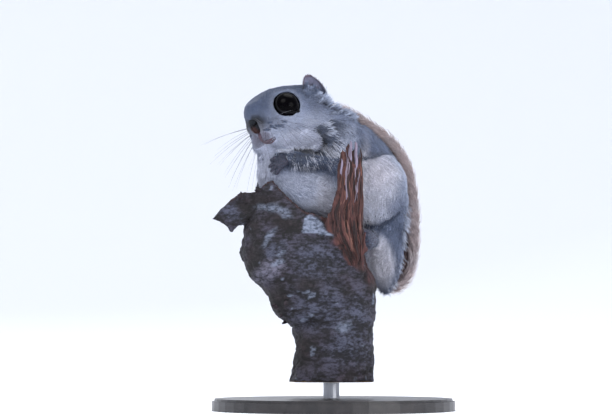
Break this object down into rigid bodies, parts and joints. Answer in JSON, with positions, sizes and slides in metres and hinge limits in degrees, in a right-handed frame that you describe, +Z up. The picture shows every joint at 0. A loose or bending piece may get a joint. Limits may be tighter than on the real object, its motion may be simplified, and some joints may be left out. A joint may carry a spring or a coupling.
{
  "type": "flying squirrel",
  "caption": "Life-size Siberian flying squirrel in its winter coat, hunched on a broken branch stub with its tail laid up along its back, on a plain display stand.",
  "frame": {"origin": "centre of the underside of the stand's base", "axes": "+Z up, +X towards the animal's rump; the animal faces -X, turned about 20 degrees towards -Y, with its left side towards -Y"},
  "size_m": [0.12, 0.12, 0.1657],
  "materials": {
    "grey_fur": "soft dense fur, blue-grey over dark roots",
    "white_fur": "soft dense fur, cool white",
    "tail_fur": "long flat-lying fur, tan brown",
    "bare_skin": "thin bare or short-haired skin, dusky pink",
    "nose_skin": "moist grained skin, dark reddish brown",
    "eye": "wet gloss, black",
    "bark": "rough weathered bark and torn wood",
    "stand": "satin black"
  },
  "bodies": {
    "root": {"head": "grey_fur", "neck": "grey_fur", "torso": "grey_fur", "arm_left": "grey_fur", "arm_right": "grey_fur", "shank_left": "grey_fur", "shank_right": "grey_fur", "membrane_left": "white_fur", "membrane_right": "white_fur", "thigh_left": "white_fur", "thigh_right": "white_fur", "tail_base": "tail_fur", "tail_middle": "tail_fur", "tail_tip": "tail_fur", "ear_left": "bare_skin", "ear_right": "bare_skin", "hand_left": "bare_skin", "hand_right": "bare_skin", "foot_left": "bare_skin", "foot_right": "bare_skin", "nose": "nose_skin", "eye_left": "eye", "eye_right": "eye", "perch_branch": "bark", "stand_rod": "stand", "stand_base": "stand"}
  },
  "joints": []
}
